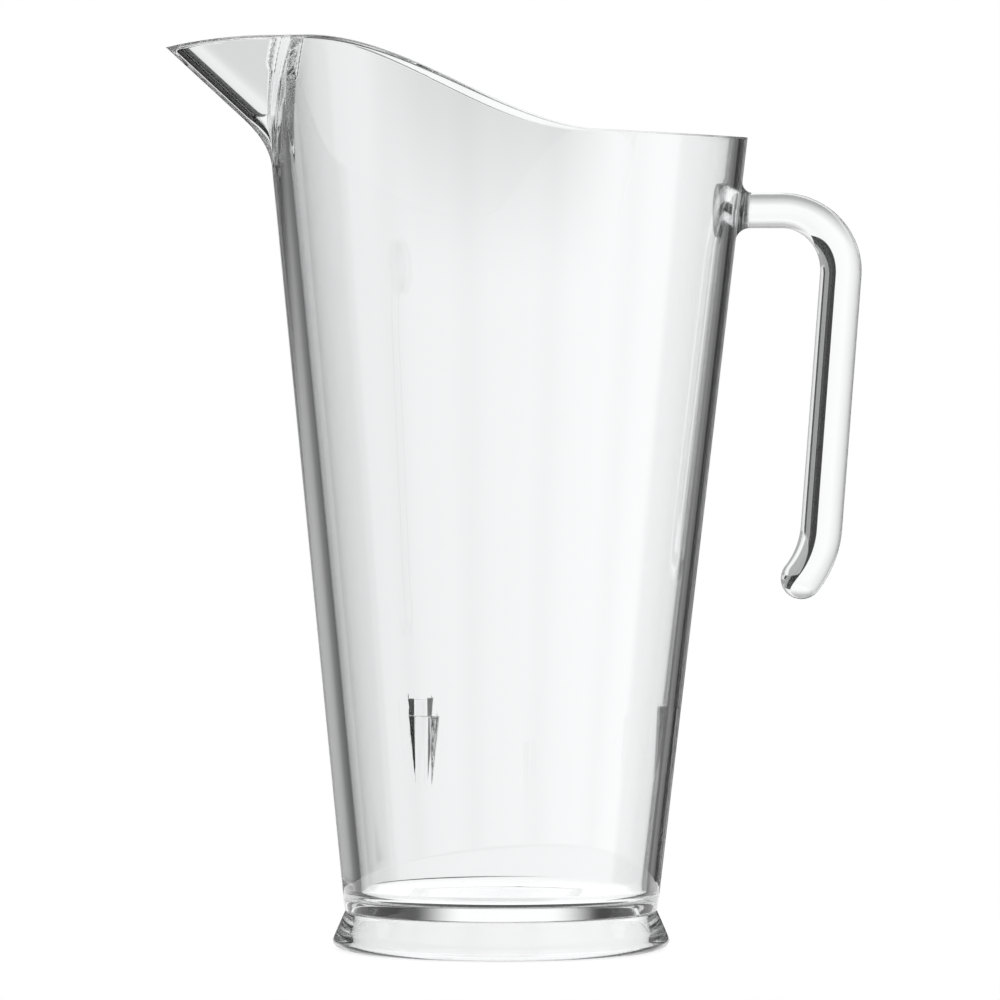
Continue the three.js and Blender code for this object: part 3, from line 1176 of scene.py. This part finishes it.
@dataclass(frozen=True)
class Sky:
    """Directions of the surroundings, as sockets of the world's node tree."""

    board: NodeBoard
    share: Socket
    around: Socket
    upward: Socket

    @classmethod
    def seen_along(cls, board: NodeBoard, turn: float) -> "Sky":
        """Place the nodes that read the direction.

        Args:
            board: Where the nodes go.
            turn: Direction that counts as straight ahead, in degrees from +Y to +X.

        Returns:
            Share of the whole turn, degrees to the right, and degrees up.
        """
        place = board.add("ShaderNodeTexCoord").outputs["Generated"]
        apart = board.add("ShaderNodeSeparateXYZ", {0: place}).outputs
        heading = board.maths("ARCTAN2", apart["X"], apart["Y"])
        turned = board.maths("DIVIDE", board.maths("SUBTRACT", heading, math.radians(turn)), 2.0 * math.pi)
        share = board.maths("FRACT", board.maths("ADD", turned, 0.5))
        around = board.maths("MULTIPLY", board.maths("SUBTRACT", share, 0.5), 360.0)
        upward = board.maths("DEGREES", board.maths("ARCSINE", apart["Z"]))
        return cls(board, share, around, upward)


@dataclass(frozen=True)
class Flag:
    """A shaded card hung in the surroundings, seen only through the plastic.

    The edges are given in degrees: round to the right of the picture's own direction, and up.
    """

    left: float
    right: float
    low: float
    high: float
    shade: float
    edge: float
    fade: float = 0.5
    lean: float = 0.0

    def hang(self, sky: Sky, light: Socket) -> Socket:
        """Darken the light behind the card.

        Args:
            sky: Directions.
            light: Light without the card.

        Returns:
            Light with the card.
        """
        board = sky.board
        across = board.maths("SUBTRACT", sky.around, board.maths("MULTIPLY", sky.upward, self.lean))
        cover = board.product(
            board.ranged(across, self.left - self.edge, self.left + self.edge),
            board.ranged(across, self.right - self.edge, self.right + self.edge, 1.0, 0.0),
            board.ranged(sky.upward, self.low - self.fade, self.low + self.fade),
            board.ranged(sky.upward, self.high - self.fade, self.high + self.fade, 1.0, 0.0),
        )
        drop = board.product(board.maths("SUBTRACT", light, self.shade), cover)
        return board.maths("SUBTRACT", light, drop)


def both_sides(*flags: Flag) -> tuple[Flag, ...]:
    """Return cards together with their mirror images across the picture's own direction."""
    return flags + tuple(replace(flag, left=-flag.right, right=-flag.left) for flag in flags)


@dataclass(frozen=True)
class Sweep:
    """Light that changes round the jug or up it, as steps of degrees and level."""

    steps: Sequence[tuple[float, float]]

    def shine(self, board: NodeBoard, share: Socket) -> Socket:
        """Place the sweep as a ramp.

        Args:
            board: Where the nodes go.
            share: Direction as a share of the whole turn, with half a turn at zero degrees.

        Returns:
            The light's level.
        """
        ramp = board.add("ShaderNodeValToRGB", {0: share})
        elements = ramp.color_ramp.elements
        while len(elements) < len(self.steps):
            elements.new(0.5)
        for element, (degrees, level) in zip(elements, self.steps):
            element.position = (degrees + 180.0) / 360.0
            element.color = (level, level, level, 1.0)
        return ramp.outputs["Color"]


@dataclass
class Surround:
    """Surroundings: white to the camera, a studio's lights and dark cards to the plastic.

    A ray that has crossed the hollow, one guided round inside a wall and one straight through a solid
    rod meet different parts of a real studio, so each kind has its own light here. Sweeps and fades
    are in degrees, as the cards are.
    """

    turn: float
    mirrored: Sweep = Sweep((
        (-180.0, 0.5), (-150.0, 0.35), (-110.0, 0.1), (-12.0, 0.08), (-6.0, 0.6), (0.0, 1.0), (4.0, 0.6),
        (7.0, 0.05), (36.0, 0.05), (44.0, 0.5), (56.0, 0.95), (120.0, 1.0), (160.0, 0.8), (180.0, 0.5),
    ))
    mirrored_table: float = 0.08
    mirrored_table_fade: tuple[float, float] = (-25.0, -12.0)
    mirrored_top: float = 0.6
    mirrored_top_fade: tuple[float, float] = (30.0, 60.0)
    hollow: Sweep = Sweep((
        (-180.0, 1.0), (-78.0, 1.0), (-74.0, 0.05), (-40.0, 0.08), (-36.0, 0.25), (-30.0, 0.5),
        (-20.0, 0.74), (-14.0, 0.82), (-8.0, 0.88), (-3.0, 0.93), (0.0, 0.95), (3.0, 0.98), (8.0, 1.0),
        (18.0, 1.0), (21.0, 0.0), (74.0, 0.0), (78.0, 1.0), (180.0, 1.0),
    ))
    hollow_low_fade: tuple[float, float] = (-11.0, -8.0)
    hollow_high_fade: tuple[float, float] = (12.0, 20.0)
    flank_shade: float = 0.25
    flank_low_fade: tuple[float, float] = (-1.2, 0.4)
    flank_left_fade: tuple[float, float] = (-4.6, -2.0)
    flank_right_fade: tuple[float, float] = (0.5, 2.0)
    walls: Sweep = Sweep((
        (-180.0, 1.0), (-120.0, 1.0), (-90.0, 0.9), (-75.0, 0.65), (-60.0, 0.25), (-50.0, 0.12),
        (-40.0, 0.12), (-34.0, 0.22), (-28.0, 0.42), (-20.0, 0.55), (-10.0, 0.58), (-5.0, 0.7), (0.0, 1.0),
        (7.5, 1.0), (9.0, 0.03), (26.0, 0.03), (28.0, 0.22), (35.0, 0.22), (38.0, 0.05), (50.0, 0.05),
        (56.0, 0.25), (66.0, 0.4), (80.0, 0.8), (95.0, 1.0), (180.0, 1.0),
    ))
    wall_low_fade: tuple[float, float] = (-12.5, -11.5)
    wall_high_fade: tuple[float, float] = (1.5, 2.5)
    wall_top: float = 0.5
    wall_top_fade: tuple[float, float] = (24.0, 42.0)
    rods: Sweep = Sweep((
        (-180.0, 1.0), (-84.0, 1.0), (-79.0, 0.15), (-62.0, 0.1), (-58.0, 0.25), (-51.0, 0.55),
        (-40.0, 0.75), (-30.0, 0.88), (-14.0, 1.0), (40.0, 1.0), (52.0, 0.85), (66.0, 0.8), (81.0, 0.5),
        (86.0, 1.0), (180.0, 1.0),
    ))
    rod_rise: Sweep = Sweep((
        (-90.0, 0.42), (-40.0, 0.42), (-37.0, 0.45), (-29.0, 0.64), (-21.0, 0.8), (-13.0, 1.0), (24.0, 1.0),
        (36.0, 0.68), (42.0, 0.5), (90.0, 0.45),
    ))
    rod_ahead_fade: tuple[float, float] = (30.0, 42.0)
    hollow_flags: Sequence[Flag] = (
        Flag(-7.0, 7.0, -44.0, -5.7, 0.0, 1.0, 0.6, 1.1),
        Flag(-74.0, -40.0, -16.0, -8.0, 0.1, 3.0),
    )
    wall_flags: Sequence[Flag] = (
        Flag(18.0, 100.0, 0.0, 75.0, 0.0, 8.0),
        Flag(-100.0, -22.0, 0.0, 75.0, 0.0, 9.0),
        Flag(-32.0, -4.0, -2.8, 2.0, 0.04, 2.0, 0.8),
        Flag(-22.0, 7.0, -48.0, -8.0, 0.0, 2.0, 0.8, 1.1),
        Flag(9.0, 36.0, -48.0, -12.0, 0.04, 2.0),
        Flag(-42.0, -9.0, -48.0, -9.0, 0.02, 2.0),
        *both_sides(
            Flag(62.0, 73.0, -48.0, -12.0, 0.3, 8.0),
            Flag(107.0, 118.0, -48.0, 25.0, 0.3, 8.0),
            Flag(152.0, 163.0, -48.0, 25.0, 0.3, 8.0),
        ),
    )
    rod_flags: Sequence[Flag] = (
        Flag(13.4, 31.0, -9.0, 25.0, 0.0, 0.8, 1.0, 0.8),
        Flag(31.0, 44.0, -9.0, 25.0, 0.28, 0.8, 1.0, 0.8),
        Flag(44.0, 54.0, -9.0, 1.0, 0.03, 0.8, 1.5, 0.8),
        Flag(40.0, 90.0, 2.0, 15.0, 0.35, 3.0, 1.5, 0.8),
        Flag(9.0, 36.0, -48.0, -9.0, 0.4, 3.0),
        Flag(54.0, 81.0, -48.0, -9.0, 0.4, 3.0),
        Flag(-81.0, -56.0, -48.0, -9.0, 0.4, 3.0),
        *both_sides(
            Flag(99.0, 126.0, -48.0, 25.0, 0.4, 3.0),
            Flag(144.0, 171.0, -48.0, 25.0, 0.4, 3.0),
        ),
    )

    def build(self) -> None:
        """Set the world of the scene."""
        world = bpy.data.worlds.new("studio_surround")
        bpy.context.scene.world = world
        board = NodeBoard.cleared(world)
        sky = Sky.seen_along(board, self.turn)
        path = board.add("ShaderNodeLightPath").outputs
        guided = board.maths("GREATER_THAN", path["Glossy Depth"], GUIDED_DEPTH)
        crossed = board.maths("GREATER_THAN", path["Transmission Depth"], HOLLOW_DEPTH)
        solid = board.between(guided, self._rod_light(sky), self._wall_light(sky))
        through = board.between(crossed, solid, self._hollow_light(sky))
        studio = board.between(path["Is Transmission Ray"], self._mirror_light(sky), through)
        plain = board.maths("MAXIMUM", path["Is Camera Ray"], path["Is Diffuse Ray"])
        glow = board.add("ShaderNodeBackground", {"Color": board.between(plain, studio, 1.0)})
        board.add("ShaderNodeOutputWorld", {"Surface": glow.outputs[0]})

    def _mirror_light(self, sky: Sky) -> Socket:
        """Return the light of reflections on the first surface.

        Args:
            sky: Directions.

        Returns:
            The light's level.
        """
        board = sky.board
        dimmed = board.ranged(sky.upward, *self.mirrored_top_fade, 1.0, self.mirrored_top)
        light = board.product(self.mirrored.shine(board, sky.share), dimmed)
        return board.between(board.ranged(sky.upward, *self.mirrored_table_fade), self.mirrored_table, light)

    def _hollow_light(self, sky: Sky) -> Socket:
        """Return the light of rays that have crossed the hollow of the jug.

        Args:
            sky: Directions.

        Returns:
            The light's level.
        """
        board = sky.board
        level = board.product(board.ranged(sky.upward, *self.hollow_low_fade),
                              board.ranged(sky.upward, *self.hollow_high_fade, 1.0, 0.0))
        flank = board.product(board.ranged(sky.upward, *self.flank_low_fade),
                              board.ranged(sky.around, *self.flank_left_fade),
                              board.ranged(sky.around, *self.flank_right_fade, 1.0, 0.0))
        kept = board.maths("SUBTRACT", 1.0, board.maths("MULTIPLY", flank, self.flank_shade))
        light = board.between(level, 1.0, board.product(self.hollow.shine(board, sky.share), kept))
        return self._behind(self.hollow_flags, sky, light)

    def _wall_light(self, sky: Sky) -> Socket:
        """Return the light of rays guided round inside a wall.

        Args:
            sky: Directions.

        Returns:
            The light's level.
        """
        board = sky.board
        light = self.walls.shine(board, sky.share)
        light = board.between(board.ranged(sky.upward, *self.wall_low_fade), 1.0, light)
        light = board.between(board.ranged(sky.upward, *self.wall_high_fade), light, 1.0)
        light = board.between(board.ranged(sky.upward, *self.wall_top_fade), light, self.wall_top)
        return self._behind(self.wall_flags, sky, light)

    def _rod_light(self, sky: Sky) -> Socket:
        """Return the light of rays straight through a solid rod.

        Args:
            sky: Directions.

        Returns:
            The light's level.
        """
        board = sky.board
        rise = board.maths("ADD", board.maths("DIVIDE", sky.upward, 360.0), 0.5)
        ahead = board.ranged(board.maths("ABSOLUTE", sky.around), *self.rod_ahead_fade, 1.0, 0.0)
        table = board.between(ahead, 1.0, self.rod_rise.shine(board, rise))
        light = board.product(self.rods.shine(board, sky.share), table)
        return self._behind(self.rod_flags, sky, light)

    @staticmethod
    def _behind(flags: Sequence[Flag], sky: Sky, light: Socket) -> Socket:
        """Hang a row of cards.

        Args:
            flags: The cards, in the order in which they are hung.
            sky: Directions.
            light: Light without the cards.

        Returns:
            Light with the cards.
        """
        for flag in flags:
            light = flag.hang(sky, light)
        return light


@dataclass(frozen=True)
class Softbox:
    """A soft round lamp that points at the jug and leaves no glint in the plastic, in metres."""

    name: str
    place: tuple[float, float, float]
    power: float
    size: float = 0.9
    aim_height: float = 0.12

    def hang(self) -> None:
        """Add the lamp to the scene."""
        light = bpy.data.lights.new(self.name, "AREA")
        light.shape = "DISK"
        light.size = self.size
        light.energy = self.power
        lamp = bpy.data.objects.new(self.name, light)
        bpy.context.scene.collection.objects.link(lamp)
        lamp.location = self.place
        way = Vector((0.0, 0.0, self.aim_height)) - Vector(self.place)
        lamp.rotation_euler = way.to_track_quat("-Z", "Y").to_euler()
        lamp.visible_glossy = False
        lamp.visible_transmission = False


@dataclass
class Studio:
    """Pale floor, surroundings, soft lamps and the camera, in metres."""

    form: JugForm
    eye_distance: float = 2.6
    eye_height: float = 0.232
    eye_turn: float = 2.8
    aim_height: float = 0.1239
    aim_side: float = -0.0003
    field: float = 0.2762
    sensor: float = 36.0
    clip: tuple[float, float] = (0.05, 30.0)
    lamps: Sequence[Softbox] = (
        Softbox("key_softbox", (0.9, -1.1, 1.5), 9.0),
        Softbox("fill_softbox", (-1.2, -0.7, 1.2), 3.0),
    )
    floor_radius: float = 0.15
    floor_drop: float = 0.0002
    floor_steps: int = 96
    floor_colour: float = 0.25
    floor_glow: float = 0.84
    # painted shade: the floor's level for rays guided inside a wall, which darkens the walls' edges
    floor_guided_shade: float = 0.02
    # painted light: glow of the floor for rays through the hollow, brighter near the jug and without its
    # shadow
    floor_hollow_glow: tuple[float, float] = (1.15, 1.0)
    floor_hollow_glow_fade: tuple[float, float] = (0.05, 0.12)

    def build(self) -> list[bpy.types.Object]:
        """Build the stage, the lamps and the camera.

        Returns:
            The objects of the stage.
        """
        Surround(self.eye_turn).build()
        floor = self._floor()
        for lamp in self.lamps:
            lamp.hang()
        self._camera()
        return [floor]

    def _camera(self) -> None:
        """Place the camera as the picture was taken."""
        turn = math.radians(self.eye_turn)
        ahead = Vector((math.sin(turn), math.cos(turn), 0.0))
        right = Vector((math.cos(turn), -math.sin(turn), 0.0))
        axis = Vector((self.form.axis_x * MM, 0.0, 0.0))
        lens = bpy.data.cameras.new("camera")
        camera = bpy.data.objects.new("camera", lens)
        bpy.context.scene.collection.objects.link(camera)
        camera.location = axis - ahead * self.eye_distance + Vector((0.0, 0.0, self.eye_height))
        aim = axis + right * self.aim_side + Vector((0.0, 0.0, self.aim_height))
        way = aim - camera.location
        camera.rotation_euler = way.to_track_quat("-Z", "Y").to_euler()
        lens.sensor_width = self.sensor
        lens.lens = self.sensor * way.length / self.field
        lens.clip_start, lens.clip_end = self.clip
        bpy.context.scene.camera = camera

    def _floor(self) -> bpy.types.Object:
        """Lay the pale floor.

        Returns:
            The floor.
        """
        steps = self.floor_steps
        points = [(0.0, 0.0, -self.floor_drop)]
        for i in range(steps):
            turn = 2.0 * math.pi * i / steps
            points.append((self.floor_radius * math.cos(turn), self.floor_radius * math.sin(turn),
                           -self.floor_drop))
        mesh = bpy.data.meshes.new("pale_floor")
        mesh.from_pydata(points, [], [(0, 1 + i, 1 + (i + 1) % steps) for i in range(steps)])
        mesh.materials.append(self._floor_finish())
        floor = bpy.data.objects.new("pale_floor", mesh)
        bpy.context.scene.collection.objects.link(floor)
        return floor

    def _floor_finish(self) -> bpy.types.Material:
        """Make the floor pale to the eye and matt to the light, with a level for each kind of ray.

        Returns:
            The floor's material.
        """
        made = bpy.data.materials.new("pale_floor")
        board = NodeBoard.cleared(made)
        path = board.add("ShaderNodeLightPath").outputs
        matt = board.add("ShaderNodeBsdfDiffuse", {"Color": (self.floor_colour,) * 3 + (1.0,)}).outputs[0]
        glow = board.add("ShaderNodeEmission", {"Strength": self.floor_glow}).outputs[0]
        pale = board.add("ShaderNodeAddShader", {0: matt, 1: glow}).outputs[0]
        bent = board.maths("MAXIMUM", path["Is Glossy Ray"], path["Is Transmission Ray"])
        floor = board.shaded(board.maths("MAXIMUM", path["Is Camera Ray"], bent), matt, pale)
        place = board.add("ShaderNodeTexCoord").outputs["Object"]
        away = board.add("ShaderNodeVectorMath", {0: place}, operation="LENGTH").outputs["Value"]
        # painted light: brighter glow near the jug, seen through the hollow
        level = board.ranged(away, *self.floor_hollow_glow_fade, *self.floor_hollow_glow)
        behind = board.add("ShaderNodeEmission", {"Strength": level}).outputs[0]
        floor = board.shaded(board.maths("GREATER_THAN", path["Transmission Depth"], HOLLOW_DEPTH),
                             floor, behind)
        # painted shade: almost black floor for rays guided inside a wall
        dark = board.add("ShaderNodeEmission", {"Strength": self.floor_guided_shade}).outputs[0]
        guided = board.product(board.maths("GREATER_THAN", path["Glossy Depth"], GUIDED_DEPTH),
                               board.maths("LESS_THAN", path["Transmission Depth"], HOLLOW_DEPTH),
                               path["Is Transmission Ray"])
        board.add("ShaderNodeOutputMaterial", {"Surface": board.shaded(guided, floor, dark)})
        return made


def main() -> None:
    """Build the jug, the stage and the camera, and report each piece."""
    logging.basicConfig(level=logging.INFO, format="%(name)s: %(message)s")
    scene = bpy.context.scene
    scene.view_settings.view_transform = "Standard"
    scene.cycles.max_bounces = ALL_BOUNCES
    scene.cycles.transmission_bounces = THROUGH_BOUNCES
    scene.cycles.glossy_bounces = ALL_BOUNCES
    form = JugForm()
    makers = (
        JugBody(form, ClearPlastic("clear_body_plastic")),
        FootRing(form, ClearPlastic("clear_foot_plastic")),
        HookHandle(form, ClearPlastic("clear_handle_plastic", ripple_stretch=1.0)),
        Studio(form),
    )
    for maker in makers:
        for piece in maker.build():
            log.info("%s: %d faces", piece.name, len(piece.data.polygons))


if __name__ == "__main__":
    main()
